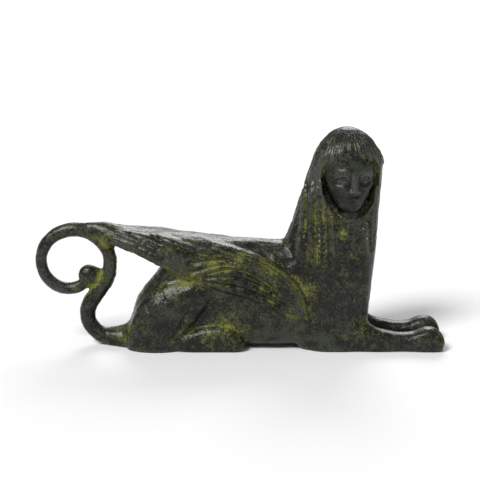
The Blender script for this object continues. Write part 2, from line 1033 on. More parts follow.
@dataclass
class Head(Form):
    """The face and the hollows round it.

    The face has its own turned axes, whose columns are across, outward and upward. Its lines stand
    at thirds of the height from the chin to the hairline.
    """

    x: float = 41.8
    turn: float = math.radians(14.0)
    chin: float = 56.6
    third: float = 7.4
    front: float = 13.3
    roundness: float = 2.2
    outline: Profile = field(
        default_factory=lambda: Profile(
            [  # thirds above the chin, half width, how far the front is set back, half depth
                (-0.14, 0.8, 5.4, 1.0),
                (-0.08, 2.0, 3.6, 2.8),
                (0.0, 3.4, 2.2, 4.8),
                (0.14, 4.9, 1.5, 7.0),
                (0.4, 6.8, 1.2, 8.8),
                (0.7, 8.2, 1.0, 9.6),
                (1.0, 9.2, 0.8, 10.0),
                (1.4, 10.1, 0.5, 10.0),
                (1.8, 10.5, 0.3, 10.0),
                (2.2, 10.6, 0.2, 10.0),
                (2.6, 10.3, 0.6, 9.8),
                (3.0, 9.4, 1.6, 9.2),
                (3.4, 7.8, 3.5, 7.6),
                (3.7, 5.6, 6.0, 5.0),
            ]
        )
    )
    eye_x: float = 4.5
    eye_half: tuple[float, float, float] = (3.0, 2.0, 1.6)
    ring_middle: float = 69.0
    ring_half: float = 11.5
    ring_tall: float = 15.7
    ring_top: float = 79.0
    ring_depth: float = 2.6
    ring_opens: tuple[float, float] = (75.0, 64.0)
    throat: tuple[float, float, float] = (43.4, -10.4, 51.6)
    throat_half: tuple[float, float, float] = (6.0, 2.5, 6.6)
    neck_radius: float = 4.1
    neckline: float = 46.6

    def __post_init__(self) -> None:
        """Works out the heights of the face's lines from its thirds."""
        self.nose_base = self.chin + self.third
        self.mouth = self.chin + 0.62 * self.third
        self.eye_line = self.nose_base + 0.8 * self.third
        self.brow = self.nose_base + self.third
        self.hairline = self.chin + 2.93 * self.third

    def reach(self) -> tuple[Sequence[float], Sequence[float]]:
        """Returns the lowest and highest corners of the face."""
        return (27, -16, 50), (57, 1, 86)

    def local(self, points: Array) -> Array:
        """Turns points into the face's own axes.

        Args:
            points: Points as rows.

        Returns:
            Columns across, outward and upward.
        """
        dx, dy = points[:, 0] - self.x, points[:, 1]
        c, s = math.cos(self.turn), math.sin(self.turn)
        return np.stack([dx * c + dy * s, dx * s - dy * c, points[:, 2]], axis=1)

    def placed(self, p: Array) -> Array:
        """Turns points of the face's own axes back into the wax's.

        Args:
            p: Columns across, outward and upward.

        Returns:
            Points as rows.
        """
        c, s = math.cos(self.turn), math.sin(self.turn)
        return np.stack([self.x + p[:, 0] * c + p[:, 1] * s, p[:, 0] * s - p[:, 1] * c, p[:, 2]], axis=1)

    def side(self, p: Array) -> Array:
        """Distance to the egg of the face within its level.

        Args:
            p: Points in the face's own axes.

        Returns:
            One distance for each point.
        """
        half, back, deep = self.outline((p[:, 2] - self.chin) / self.third)
        return oval(p[:, 0], p[:, 1] - (self.front - back - deep), half, deep, self.roundness)

    def egg(self, p: Array) -> Array:
        """Distance to the egg of the face.

        Args:
            p: Points in the face's own axes.

        Returns:
            One distance for each point.
        """
        low, high = self.chin - 0.13 * self.third, self.chin + 3.68 * self.third
        ends = np.maximum(low - p[:, 2], p[:, 2] - high)
        return common(levelled(self.side, p, axis=2), ends, Join.WORKED)

    def unrolled(self, p: Array) -> Array:
        """Unrolls the egg's skin, so that features can be set on it as on a flat board.

        Args:
            p: Points in the face's own axes.

        Returns:
            Columns with the distance from the middle line, the rise above the skin, and the height.
        """
        half, back, deep = self.outline((p[:, 2] - self.chin) / self.third)
        across = np.abs(p[:, 0])
        share = np.minimum(across / half, 0.985)
        drop = deep * (1.0 - (1.0 - share**self.roundness) ** (1.0 / self.roundness))
        return np.stack([across, p[:, 1] - (self.front - back - drop), p[:, 2]], axis=1)

    def eyes(self, flat: Array, face: Array) -> Array:
        """Sets the eyes into the face: sockets, brows, eyeballs and lids.

        Args:
            flat: Points over the unrolled skin.
            face: Distances to the face without its eyes.

        Returns:
            Distances to the face with its eyes.
        """
        x, up, brow = self.eye_x, self.eye_line, self.brow
        face = cut(face, ball(flat, (x, 0.85, up + 0.35), (4.1, 1.7, 2.9)), 1.2)
        arch = (
            (1.3, -0.35, brow + 0.4),
            (3.4, -0.3, brow + 1.35),
            (6.0, -0.3, brow + 1.25),
            (8.6, -0.4, brow - 0.4),
        )
        face = joined(face, chain(flat, arch, (0.55, 0.75, 0.7, 0.35)), 1.3)
        face = joined(face, ball(flat, (x, -2.15, up), self.eye_half), 0.3)
        inner, outer = (x - 2.7, -0.55, up - 0.35), (x + 3.2, -0.45, up - 0.1)
        upper = ((x - 1.6, -0.2, up + 0.95), (x, -0.05, up + 1.55), (x + 1.7, -0.15, up + 1.0))
        lower = ((x - 1.4, -0.4, up - 1.1), (x + 0.1, -0.35, up - 1.4), (x + 1.7, -0.4, up - 1.0))
        face = joined(face, chain(flat, (inner, *upper, outer), (0.3, 0.42, 0.5, 0.42, 0.3)), 0.35)
        return joined(face, chain(flat, (inner, *lower, outer), (0.28, 0.36, 0.4, 0.36, 0.28)), 0.35)

    def nose(self, flat: Array, face: Array) -> Array:
        """Sets the nose on the face.

        Args:
            flat: Points over the unrolled skin.
            face: Distances to the face without its nose.

        Returns:
            Distances to the face with its nose.
        """
        base = self.nose_base
        bridge = (
            (0, -0.3, self.brow + 0.4),
            (0, 0.25, self.eye_line),
            (0, 0.95, base + 2.4),
            (0, 1.25, base + 1.05),
        )
        face = joined(face, chain(flat, bridge, (0.95, 0.95, 1.1, 1.2)), 1.1)
        return joined(face, ball(flat, (1.35, 0.5, base + 0.8), (0.9, 1.1, 0.75)), 0.6)

    def lips_and_chin(self, flat: Array, face: Array) -> Array:
        """Sets the cheeks, the mouth and the chin on the face.

        Args:
            flat: Points over the unrolled skin.
            face: Distances to the face without them.

        Returns:
            Distances to the face with them.
        """
        mouth = self.mouth
        face = joined(face, ball(flat, (5.4, -2.4, self.nose_base + 1.8), (3.8, 2.8, 3.4)), 2.2)
        face = joined(face, ball(flat, (0, -1.9, mouth + 0.2), (4.6, 2.3, 3.0)), 1.6)
        face = joined(face, ball(flat, (0, -2.1, self.chin + 2.0), (3.0, 2.6, 2.1)), 1.4)
        upper = ((0, 0.3, mouth + 0.6), (1.2, 0.3, mouth + 0.8), (3.2, -0.1, mouth + 0.2))
        lower = ((0, 0.35, mouth - 0.75), (1.4, 0.2, mouth - 0.7), (2.9, -0.1, mouth - 0.15))
        seam = ((0, 0.95, mouth), (1.7, 0.8, mouth + 0.12), (3.2, 0.3, mouth + 0.28))
        face = joined(face, chain(flat, upper, (0.5, 0.52, 0.22)), 0.35)
        face = joined(face, chain(flat, lower, (0.62, 0.55, 0.22)), 0.35)
        return cut(face, chain(flat, seam, (0.28, 0.26, 0.16)), 0.25)

    def carve(self, points: Array, mass: Array, bust: Bust) -> Array:
        """Sinks the hair round the jaw and the throat, and sets the neck and the dress's edge there.

        Args:
            points: Points as rows, in the wax's axes.
            mass: Distances to the mass of hair.
            bust: The bust that carries the dress.

        Returns:
            Distances to the mass with its hollows.
        """
        p = self.local(points)
        ring = oval(p[:, 0], p[:, 2] - self.ring_middle, self.ring_half, self.ring_tall, 2.1)
        ring = common(ring, p[:, 2] - self.ring_top, 2.0)
        ring = common(ring, -p[:, 1], Join.CRISP)
        half_face = self.outline((p[:, 2] - self.chin) / self.third)[0]
        behind_face = fade(np.abs(p[:, 0]) / half_face, 1.05, 0.9)
        open_ring = 0.3 + 0.7 * fade(p[:, 2], *self.ring_opens)
        depth = self.ring_depth * np.maximum(open_ring, behind_face)
        mass = cut(mass, common(ring, -(mass + depth), 0.6), 0.5)
        mass = cut(mass, ball(points, self.throat, self.throat_half), 1.0)
        neck_x, _, neck_z = self.throat
        neck_top, neck_foot = (neck_x, -5.4, neck_z + 8), (neck_x, -5.5, self.neckline - 2)
        neck = stick(points, neck_top, neck_foot, self.neck_radius, self.neck_radius + 0.3)
        mass = joined(mass, neck, 0.9)
        turns = np.linspace(-0.62, 0.62, 11)
        heights = self.neckline + 4.6 * np.abs(turns) ** 2
        starts = np.stack([neck_x + 9.5 * np.sin(turns), np.full(11, -20.0), heights], axis=1)
        edge = landing(bust.mass, starts, (0.0, 1.0, 0.0), -0.1)
        return joined(mass, chain(points, edge, 0.1 + 0.35 * np.cos(1.6 * turns)), 0.9)

    def shape(self, points: Array) -> Array:
        """Distance to the face.

        Args:
            points: Points as rows, in the wax's axes.

        Returns:
            One distance for each point.
        """
        p = self.local(points)
        flat = self.unrolled(p)
        return self.nose(flat, self.eyes(flat, self.lips_and_chin(flat, self.egg(p))))


@dataclass(frozen=True)
class Tress:
    """A tress that hangs on the bust: its line from the top down, its width and its beads."""

    line: tuple[tuple[float, float], ...]
    radius: float
    beads: int = 0
    far_side: bool = False


@dataclass
class Hair(Form):
    """The locks over the forehead, the tresses with their end beads, and the combed strands."""

    bust: Bust
    head: Head
    tresses: tuple[Tress, ...] = (
        Tress(((26.2, 66), (24.6, 50), (21.9, 36.2)), 1.2),
        Tress(((28.8, 68), (28.1, 49), (29.2, 34.4)), 1.45),
        Tress(((30.4, 66), (31.7, 49), (31.8, 35.4)), 1.15, beads=13),
        Tress(((33.8, 59), (34.3, 46), (34.4, 35.8)), 0.85, beads=10),
        Tress(((36.6, 55), (36.9, 47), (37.2, 38.6)), 0.6),
        Tress(((54.2, 66), (53.4, 55), (52.6, 40)), 1.1),
        Tress(((50.4, 52), (50.8, 46), (51.3, 38.6)), 0.9, beads=6),
        Tress(((32.4, 70), (29.2, 55), (26.4, 38)), 1.7, far_side=True),
        Tress(((36.8, 71), (34.6, 55), (33, 36)), 1.7, far_side=True),
        Tress(((41.6, 71), (40.4, 56), (39.6, 35)), 1.7, far_side=True),
        Tress(((46.4, 71), (45.8, 56), (45.4, 36)), 1.7, far_side=True),
        Tress(((51.4, 70), (50.8, 55), (50.2, 38)), 1.6, far_side=True),
    )
    end_beads: tuple[tuple[float, float, float], ...] = (
        (34.9, 35.2, 1.1),
        (49.2, 49.2, 0.9),
        (22.0, 36.4, 1.4),
    )
    locks: tuple[tuple[float, float], ...] = (
        (-74, 1.2), (-61, 1.25), (-48, 1.35), (-36, 1.45), (-24, 1.5), (-8, 1.55),
        (6, 0.9), (20, 1.5), (34, 1.35), (48, 1.3), (62, 1.25), (75, 1.2),
    )
    strands: int = 27
    strand_depth: float = 0.15
    crown: tuple[float, float] = (42.5, -1.5)

    def __post_init__(self) -> None:
        """Lays the tresses and the locks on the skin under them."""
        self.laid = [self._hung(tress) for tress in self.tresses]
        self.laid += [self._lock(math.radians(turn), radius) for turn, radius in self.locks]
        for x, z, radius in self.end_beads:
            (spot,) = landing(self.bust.mass, [(x, -20.0, z)], (0.0, 1.0, 0.0))
            self.laid.append((np.array([spot, spot + (0, 0, 0.01)]), [radius, radius]))

    def _hung(self, tress: Tress) -> tuple[Array, list[float]]:
        """Hangs a tress on the bust.

        Args:
            tress: Which tress.

        Returns:
            The nodes of its chain and their radii.
        """
        (x0, z0), (x1, z1), (x2, z2) = tress.line
        count = max(2 * tress.beads, 9)
        xs, zs = Profile([(0.0, x0, z0), (0.5, x1, z1), (1.0, x2, z2)])(np.linspace(0.0, 1.0, count + 1))
        side = 1.0 if tress.far_side else -1.0
        starts = np.stack([xs, np.full(count + 1, 20.0 * side), zs], axis=1)
        nodes = landing(self.bust.mass, starts, (0.0, -side, 0.0), 0.15 * tress.radius)
        if tress.beads:
            radii = [tress.radius * (1.05 if i % 2 else 0.66) for i in range(count + 1)]
        else:
            radii = [tress.radius] * (count + 1)
        radii[0], radii[-1] = 0.4 * tress.radius, 0.7 * tress.radius
        return nodes, radii

    def _lock(self, turn: float, radius: float) -> tuple[Array, list[float]]:
        """Lays a lock of the fringe from the crown down to its tip over the forehead.

        Args:
            turn: Where its tip is, round the head, in radians from the middle of the face.
            radius: How thick it is.

        Returns:
            The nodes of its chain and their radii.
        """
        rises = np.array([0.0, 0.8, 2.2, 3.8, 5.4, 7.2])
        heights = self.head.hairline - 5.6 * math.sin(turn) ** 2 + rises * (1.0 + 0.6 * math.sin(turn) ** 2)
        turns = turn * (1.0 - 0.05 * rises)
        directions = np.stack([-np.sin(turns), -np.cos(turns), np.zeros(6)], axis=1)
        starts = -22.0 * directions + np.stack([np.zeros(6), np.zeros(6), heights], axis=1)
        over = self._over_forehead
        nodes = landing(over, starts, directions, -0.2 * radius)
        radii = [radius * share for share in (0.3, 0.72, 1.0, 0.95, 0.8, 0.45)]
        return self.head.placed(nodes), radii

    def _over_forehead(self, p: Array) -> Array:
        """Distance to the forehead and the hair round it.

        Args:
            p: Points in the face's own axes.

        Returns:
            One distance for each point.
        """
        return np.minimum(self.head.egg(p), self.bust.mass(self.head.placed(p)))

    def reach(self) -> tuple[Sequence[float], Sequence[float]]:
        """Returns the lowest and highest corners of the laid hair."""
        return (19, -16, 33), (58, 16, 88)

    def shape(self, points: Array) -> Array:
        """Distance to the laid hair.

        Args:
            points: Points as rows.

        Returns:
            One distance for each point.
        """
        hair = np.full(len(points), FAR)
        for nodes, radii in self.laid:
            close = ((points > nodes.min(axis=0) - 3.0) & (points < nodes.max(axis=0) + 3.0)).all(axis=1)
            if close.any():
                hair[close] = joined(hair[close], chain(points[close], nodes, radii), 0.25)
        return hair

    def cover(self, points: Array) -> Array:
        """Says where the skin is combed hair.

        Args:
            points: Points of the skin as rows.

        Returns:
            Shares from 0 to 1.
        """
        off_face = fade(self.head.shape(points), 0.3, 0.8)
        over_brow = 0.6 * fade(points[:, 2], self.head.hairline + 1.5, self.head.hairline + 4.0)
        behind = fade(points[:, 1], -9.0, -4.0)
        cap = fade(points[:, 2], 60.0, 66.0)
        nape = 1.0 - fade(points[:, 0], 26.0, 30.0)
        long_hair = fade(points[:, 2], 38.0, 44.0) * np.maximum(behind, nape)
        return np.maximum(cap * np.maximum(off_face, over_brow), long_hair * 0.8)

    def combed(self, points: Array) -> Array:
        """How far the combed strands stand off the skin.

        Args:
            points: Points of the skin as rows.

        Returns:
            Heights in millimetres.
        """
        across, along = points[:, 0] - self.crown[0], points[:, 1] - self.crown[1]
        angle = np.arctan2(along, across) + 0.07 * lattice_noise(points, 9.0, 3)
        wide = np.abs(np.cos(self.strands * angle)) ** 4
        few = np.abs(np.cos((self.strands // 2) * angle)) ** 4
        outer = fade(np.hypot(across, along), 6.0, 8.0)
        groove = outer * wide + (1.0 - outer) * few * fade(np.hypot(across, along), 2.0, 4.0)
        uneven = 0.65 + 0.5 * lattice_noise(points, 3.5, 5)
        return self.strand_depth * (1.0 - 2.2 * groove) * uneven * self.cover(points)


# ---- The wax and its skin ------------------------------------------------------------------


@dataclass
class Wax:
    """The whole figure in wax: every form joined, and cut off flat at the ground."""

    trunk: Trunk = field(default_factory=Trunk)
    haunches: Haunches = field(default_factory=Haunches)
    forelegs: LyingLeg = field(default_factory=fore_legs)
    feet: LyingLeg = field(default_factory=hind_feet)
    tail: Tail = field(default_factory=Tail)
    bust: Bust = field(default_factory=Bust)
    head: Head = field(default_factory=Head)
    ground_round: float = 0.5
    lumps: tuple[tuple[float, float, int], ...] = (  # width, height, which noise
        (4.5, 0.10, 11),
        (1.7, 0.08, 12),
        (0.9, 0.06, 13),
    )

    def __post_init__(self) -> None:
        """Lays the wings over the trunk and the hair over the head."""
        self.wings = Wings(self.trunk)
        self.hair = Hair(self.bust, self.head)

    def distance(self, points: Array) -> Array:
        """Distance to the whole figure.

        Args:
            points: Points as rows, in millimetres.

        Returns:
            One distance for each point, negative inside.
        """
        form = joined(self.trunk.distance(points), self.haunches.distance(points), Join.WORKED)
        form = joined(form, self.tail.distance(points), Join.SOFT)
        form = joined(form, self.feet.distance(points), Join.WORKED)
        form = joined(form, self.wings.distance(points), Join.CRISP)
        form = joined(form, self.forelegs.distance(points), Join.SOFT)
        bust = self.bust.distance(points)
        near = ((points > (20, -20, 40)) & (points < (60, 5, 90))).all(axis=1)
        if near.any():
            bust[near] = self.head.carve(points[near], bust[near], self.bust)
        form = joined(form, bust, Join.SOFT)
        form = joined(form, self.head.distance(points), 0.3)
        form = joined(form, self.hair.distance(points), 0.3)
        return common(form, -points[:, 2], self.ground_round)

    def worked(self, points: Array, normals: Array) -> Array:
        """Presses the fine strands and the unevenness of the casting into the skin.

        Args:
            points: Points of the skin as rows.
            normals: The skin's outward directions.

        Returns:
            The points, moved along the normals.
        """
        strands = self.hair.combed(points)
        uneven = sum(height * lattice_noise(points, width, seed) for width, height, seed in self.lumps)
        on_face = fade(self.head.egg(self.head.local(points)), 2.0, 0.5)
        rough = fade(points[:, 0], 32.0, 18.0) * fade(points[:, 0], -62.0, -52.0)
        uneven *= fade(points[:, 2], 0.3, 2.0) * (1.0 - 0.6 * on_face) * (1.0 + 0.8 * rough)
        uneven *= 1.0 - 0.5 * fade(normals[:, 2], 0.4, 0.9)
        return points + normals * (strands + uneven)[:, None]


class SurfaceNet:
    """Skins a distance field with an even net of small squares."""

    BLOCK = 16
    PART = 4
    CARE = 2.2

    def __init__(self, low: Sequence[float], high: Sequence[float], cell: float) -> None:
        """Lays out the grid.

        Args:
            low: Lowest corner of the space.
            high: Highest corner of the space.
            cell: Width of a square of the net.
        """
        self.cell = cell
        self.low = np.asarray(low, dtype=float)
        blocks = np.ceil((np.asarray(high) - self.low) / (cell * self.BLOCK)).astype(int)
        self.shape = tuple(int(n) * self.BLOCK for n in blocks)

    def _spots(self, corners: Array, width: int) -> Array:
        """Centres of cubes of nodes.

        Args:
            corners: Grid place of each cube's lowest node.
            width: Nodes along each side.

        Returns:
            Points as rows.
        """
        return self.low + (corners + (width - 1) / 2.0) * self.cell

    def sample(self, shape: Distance) -> Array:
        """Reads the field at the grid's nodes, in full only near the surface.

        Args:
            shape: The distance field.

        Returns:
            The grid of distances; away from the surface, only their sign is true.
        """
        values = np.full(self.shape, FAR, dtype=np.float32)
        axes = [np.arange(0, n, self.BLOCK) for n in self.shape]
        corners = np.stack(np.meshgrid(*axes, indexing="ij"), axis=-1).reshape(-1, 3)
        width = self.BLOCK
        while True:
            distance = shape(self._spots(corners, width))
            keep = np.abs(distance) < self.CARE * width * self.cell * 0.87
            inner = corners[~keep & (distance < 0)]
            steps = np.stack(np.meshgrid(*[np.arange(width)] * 3, indexing="ij"), axis=-1).reshape(-1, 3)
            nodes = (inner[:, None, :] + steps).reshape(-1, 3)
            values[nodes[:, 0], nodes[:, 1], nodes[:, 2]] = -FAR
            corners = corners[keep]
            if width == self.PART:
                break
            half = np.arange(0, width, self.PART)
            steps = np.stack(np.meshgrid(half, half, half, indexing="ij"), axis=-1).reshape(-1, 3)
            corners = (corners[:, None, :] + steps).reshape(-1, 3)
            width = self.PART
        steps = np.stack(np.meshgrid(*[np.arange(width)] * 3, indexing="ij"), axis=-1).reshape(-1, 3)
        nodes = (corners[:, None, :] + steps).reshape(-1, 3)
        for start in range(0, len(nodes), 400_000):
            part = nodes[start : start + 400_000]
            values[part[:, 0], part[:, 1], part[:, 2]] = shape(self.low + part * self.cell)
        return values

    def skin(self, values: Array) -> tuple[Array, Array]:
        """Draws the net through a grid of distances.

        Args:
            values: The grid of distances.

        Returns:
            The net's points, and its squares as rows of four point numbers.
        """
        inside = values < 0
        count = np.zeros(tuple(n - 1 for n in self.shape), dtype=np.int8)
        corners = [((c >> 2) & 1, (c >> 1) & 1, c & 1) for c in range(8)]
        nx, ny, nz = count.shape
        for i, j, k in corners:
            count += inside[i : nx + i, j : ny + j, k : nz + k]
        cells = np.argwhere((count > 0) & (count < 8))
        heights = [values[cells[:, 0] + i, cells[:, 1] + j, cells[:, 2] + k] for i, j, k in corners]
        total = np.zeros((len(cells), 3))
        crossings = np.zeros(len(cells))
        for a in range(8):
            for b in range(a + 1, 8):
                start, end = np.array(corners[a]), np.array(corners[b])
                if np.abs(end - start).sum() != 1:
                    continue
                crossed = (heights[a] < 0) != (heights[b] < 0)
                gap = np.where(crossed, heights[a] - heights[b], 1.0)
                share = np.where(crossed, heights[a] / gap, 0.0)
                total += np.where(crossed[:, None], start + share[:, None] * (end - start), 0.0)
                crossings += crossed
        points = self.low + (cells + total / crossings[:, None]) * self.cell
        number = np.full(count.shape, -1, dtype=np.int32)
        number[cells[:, 0], cells[:, 1], cells[:, 2]] = np.arange(len(cells))
        return points, np.vstack([self._squares(inside, number, axis) for axis in range(3)])

    @staticmethod
    def _squares(inside: Array, number: Array, axis: int) -> Array:
        """Squares of the net that cross the grid's edges along one axis.

        Args:
            inside: Whether each node is inside.
            number: The net's point in each cell.
            axis: The edges' direction.

        Returns:
            Rows of four point numbers, turning outward.
        """
        ahead = np.roll(inside, -1, axis=axis)
        edges = np.argwhere(inside != ahead)
        edges = edges[(edges > 0).all(axis=1) & (edges < np.array(inside.shape) - 1).all(axis=1)]
        u, v = (axis + 1) % 3, (axis + 2) % 3
        rings = []
        for du, dv in ((0, 0), (-1, 0), (-1, -1), (0, -1)):
            cell = edges.copy()
            cell[:, u] += du
            cell[:, v] += dv
            rings.append(number[cell[:, 0], cell[:, 1], cell[:, 2]])
        squares = np.stack(rings, axis=1)
        leaving = inside[edges[:, 0], edges[:, 1], edges[:, 2]]
        return np.where(leaving[:, None], squares, squares[:, ::-1])


def relaxed(points: Array, squares: Array, share: float) -> Array:
    """Evens out a net: moves each point part of the way to the middle of its neighbours.

    Args:
        points: The net's points.
        squares: Its squares.
        share: How much of the way.

    Returns:
        The moved points.
    """
    total, count = np.zeros_like(points), np.zeros(len(points))
    for column in range(4):
        here, there = squares[:, column], squares[:, (column + 1) % 4]
        count += np.bincount(here, minlength=len(points)) + np.bincount(there, minlength=len(points))
        for axis in range(3):
            total[:, axis] += np.bincount(here, points[there, axis], len(points))
            total[:, axis] += np.bincount(there, points[here, axis], len(points))
    return points + share * (total / np.maximum(count, 1.0)[:, None] - points)


def skin_normals(points: Array, squares: Array) -> Array:
    """Outward directions of a net at its points.

    Args:
        points: The net's points.
        squares: Its squares.

    Returns:
        Unit vectors as rows.
    """
    a, b, c, d = (points[squares[:, i]] for i in range(4))
    face = np.cross(c - a, d - b)
    normals = np.zeros_like(points)
    for column in range(4):
        for axis in range(3):
            normals[:, axis] += np.bincount(squares[:, column], face[:, axis], len(points))
    return normals / np.maximum(np.linalg.norm(normals, axis=1), 1e-9)[:, None]


# ---- The finish --------------------------------------------------------------------------------


@dataclass(frozen=True)
class Deposit:
    """A place where verdigris has gathered, or has been rubbed off when its strength is negative."""

    centre: tuple[float, float, float]
    radius: float
    strength: float


@dataclass
class Weathering:
    """Works out how sheltered and how green each spot of the skin is."""

    deposits: tuple[Deposit, ...] = (
        Deposit((-52.5, -1.5, 43.5), 5.0, 0.6),
        Deposit((-56.5, -1.5, 26.5), 6.0, 0.55),
        Deposit((-62.0, 0.0, 22.0), 6.0, 0.35),
        Deposit((-46.0, -5.0, 6.0), 9.0, 0.6),
        Deposit((-25.0, -12.0, 31.0), 9.0, 0.65),
        Deposit((-17.0, -12.0, 29.0), 6.0, 0.6),
        Deposit((-33.0, -10.0, 26.0), 7.0, 0.45),
        Deposit((-38.0, -9.0, 42.0), 9.0, 0.35),
        Deposit((-12.0, -12.0, 40.0), 9.0, 0.45),
        Deposit((-7.0, -12.5, 33.0), 8.0, 0.75),
        Deposit((3.0, -12.5, 38.0), 8.0, 0.55),
        Deposit((12.0, -12.5, 34.5), 7.0, 0.5),
        Deposit((19.0, -12.5, 29.0), 6.0, 0.45),
        Deposit((23.0, -12.5, 17.0), 7.0, 0.5),
        Deposit((12.0, -12.5, 24.0), 7.0, 0.4),
        Deposit((-8.0, -12.0, 9.5), 10.0, 0.55),
        Deposit((2.0, -12.0, 14.0), 9.0, 0.3),
        Deposit((28.0, -12.0, 26.0), 6.0, 0.45),
        Deposit((27.0, -12.0, 40.0), 7.0, 0.4),
        Deposit((32.0, -12.0, 58.0), 8.0, 0.35),
        Deposit((41.0, -12.0, 47.5), 8.0, 0.4),
        Deposit((46.0, -12.0, 41.0), 6.0, 0.4),
        Deposit((48.0, -12.0, 11.0), 7.0, 0.55),
        Deposit((24.0, -10.0, 6.0), 7.0, 0.35),
        Deposit((80.0, -10.0, 5.0), 5.0, 0.35),
        Deposit((42.0, -9.0, 84.0), 5.0, 0.4),
        Deposit((43.0, -12.5, 20.0), 8.0, -0.5),
        Deposit((43.0, -10.0, 66.0), 14.0, -1.2),
    )
    reaches: tuple[float, ...] = (0.8, 2.0, 4.5)
    by_shelter: float = 0.9
    held_open: float = 0.2
    held_sheltered: float = 1.3
    held_drift: float = 0.5
    film: float = 0.3
    bare: float = 0.12
    most: float = 0.95

    def hollow(self, wax: Wax, points: Array, normals: Array) -> Array:
        """How sheltered each spot is: 0 on open skin, towards 1 deep in a corner.

        Args:
            wax: The figure.
            points: Points of the skin.
            normals: Its outward directions.

        Returns:
            Shares from 0 to 1.
        """
        total = np.zeros(len(points))
        for reach in self.reaches:
            free = wax.distance(points + normals * reach) / reach
            total += np.clip(1.0 - free, -0.4, 1.0)
        return np.clip(total / len(self.reaches), 0.0, 1.0)

    def proud(self, wax: Wax, points: Array, normals: Array) -> Array:
        """How far each spot stands out: 0 on a flat or hollow, towards 1 on a sharp edge.

        Args:
            wax: The figure.
            points: Points of the skin.
            normals: Its outward directions.

        Returns:
            Shares from 0 to 1.
        """
        total = np.zeros(len(points))
        for reach in self.reaches:
            total += np.clip(1.0 + wax.distance(points - normals * reach) / reach, -0.3, 1.0)
        return np.clip(total / len(self.reaches), 0.0, 1.0)

    def green(self, points: Array, hollow: Array) -> Array:
        """How much verdigris each spot holds.

        Args:
            points: Points of the skin.
            hollow: How sheltered they are.

        Returns:
            Shares from 0 to 1.
        """
        gathered = np.zeros(len(points))
        for deposit in self.deposits:
            away = np.linalg.norm(points - np.array(deposit.centre), axis=1)
            gathered += deposit.strength * (1.0 - fade(away, 0.35 * deposit.radius, deposit.radius))
        drift = 0.5 + 0.5 * lattice_noise(points, 6.0, 21)
        held = gathered * (self.held_open + self.held_sheltered * hollow + self.held_drift * drift)
        green = self.by_shelter * hollow + held + self.film * drift - self.bare
        return np.clip(green, 0.0, self.most)


